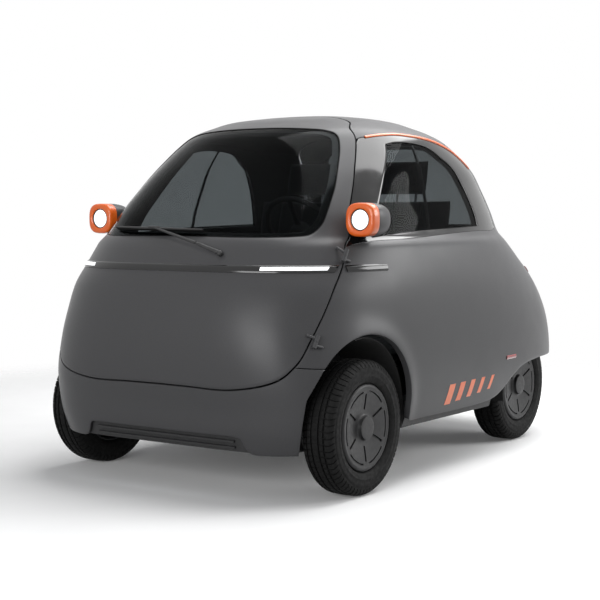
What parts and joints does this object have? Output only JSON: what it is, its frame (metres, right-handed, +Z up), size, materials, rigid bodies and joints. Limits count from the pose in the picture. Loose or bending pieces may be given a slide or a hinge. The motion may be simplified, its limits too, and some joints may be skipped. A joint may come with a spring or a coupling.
{
  "type": "microcar",
  "caption": "Two-seat electric microcar with a front door, tailgate, steered front wheels, lamp pods on the mirrors and a glass sunroof panel.",
  "frame": {"origin": "on the ground under the middle of the car", "axes": "+Y points to the tail, +X to the car's left and +Z up"},
  "size_m": [1.5106, 2.5423, 1.5247],
  "materials": {
    "paint": "satin dark grey",
    "black_plastic": "grained black",
    "steel": "black chassis paint",
    "case": "cast case",
    "window": "dark tint",
    "orange": "gloss orange",
    "lens": "clear lamp lens",
    "mirror": "mirror glass",
    "red_lens": "red lens",
    "cloth": "woven seat cloth",
    "tyre": "black rubber",
    "wheel": "satin black",
    "gloss_black": "gloss black"
  },
  "bodies": {
    "body": {"floor_tub": "black_plastic", "battery": "case", "drive_unit": "case", "front_beam": "steel", "rear_axle": "steel", "seat_box": "black_plastic", "wheel_liners": "black_plastic", "side_panel_left": "paint", "side_panel_right": "paint", "front_bumper": "paint", "intake": "black_plastic", "tail_panel": "paint", "roof": "paint", "sunroof": "gloss_black", "quarter_panels": "paint", "window_frames": "gloss_black", "side_glass": "window", "roof_strips": "orange", "wing_strips": "gloss_black", "mirror_pods": "paint", "mirror_bezels": "orange", "headlamps": "lens", "mirror_glass": "mirror", "side_reflectors": "red_lens", "rear_lamps": "red_lens", "seat_base": "cloth", "seat_back": "cloth", "head_restraints": "cloth", "steering_column": "black_plastic", "hinge_pins": "steel"},
    "steering_wheel": {"steering_wheel": "black_plastic"},
    "door": {"door_shell": "paint", "windscreen": "window", "light_strip": "gloss_black", "lamp_bars": "lens", "door_shelf": "black_plastic", "wiper": "black_plastic", "door_hinges": "steel"},
    "tailgate": {"hatch": "paint", "rear_window": "window", "hatch_hinges": "steel"},
    "knuckle_left": {"knuckle_left": "steel"},
    "knuckle_right": {"knuckle_right": "steel"},
    "wheel_front_left": {"tyre_front_left": "tyre", "rim_front_left": "wheel"},
    "wheel_front_right": {"tyre_front_right": "tyre", "rim_front_right": "wheel"},
    "wheel_rear_left": {"tyre_rear_left": "tyre", "rim_rear_left": "wheel"},
    "wheel_rear_right": {"tyre_rear_right": "tyre", "rim_rear_right": "wheel"}
  },
  "joints": [
    {"name": "door_hinge", "type": "hinge", "parent": "body", "child": "door", "pos_m": [0.656, -1.168, 0.524], "axis": [0.0116, 0.5133, 0.8581], "range_deg": [0, 65]},
    {"name": "tailgate_hinge", "type": "hinge", "parent": "body", "child": "tailgate", "pos_m": [0, 0.24968, 1.49], "axis": [1, 0, 0], "range_deg": [0, 70]},
    {"name": "steer_left", "type": "hinge", "parent": "body", "child": "knuckle_left", "pos_m": [0.6305, -0.855, 0.2665], "axis": [0, 0, 1], "range_deg": [-28, 28]},
    {"name": "steer_right", "type": "hinge", "parent": "body", "child": "knuckle_right", "pos_m": [-0.6305, -0.855, 0.2665], "axis": [0, 0, 1], "range_deg": [-28, 28]},
    {"name": "steering_wheel_turn", "type": "hinge", "parent": "body", "child": "steering_wheel", "pos_m": [0.275, -0.65, 1.025], "axis": [0, 0.792, 0.6105], "range_deg": [-392, 392]},
    {"name": "spin_front_left", "type": "hinge", "parent": "knuckle_left", "child": "wheel_front_left", "pos_m": [0.6565, -0.855, 0.2665], "axis": [1, 0, 0], "continuous": true},
    {"name": "spin_front_right", "type": "hinge", "parent": "knuckle_right", "child": "wheel_front_right", "pos_m": [-0.6565, -0.855, 0.2665], "axis": [1, 0, 0], "continuous": true},
    {"name": "spin_rear_left", "type": "hinge", "parent": "body", "child": "wheel_rear_left", "pos_m": [0.5435, 0.711, 0.2665], "axis": [1, 0, 0], "continuous": true},
    {"name": "spin_rear_right", "type": "hinge", "parent": "body", "child": "wheel_rear_right", "pos_m": [-0.5435, 0.711, 0.2665], "axis": [1, 0, 0], "continuous": true}
  ],
  "couplings": [
    {"joint": "steer_right", "follows": "steer_left", "ratio": 1},
    {"joint": "steering_wheel_turn", "follows": "steer_left", "ratio": 14}
  ]
}
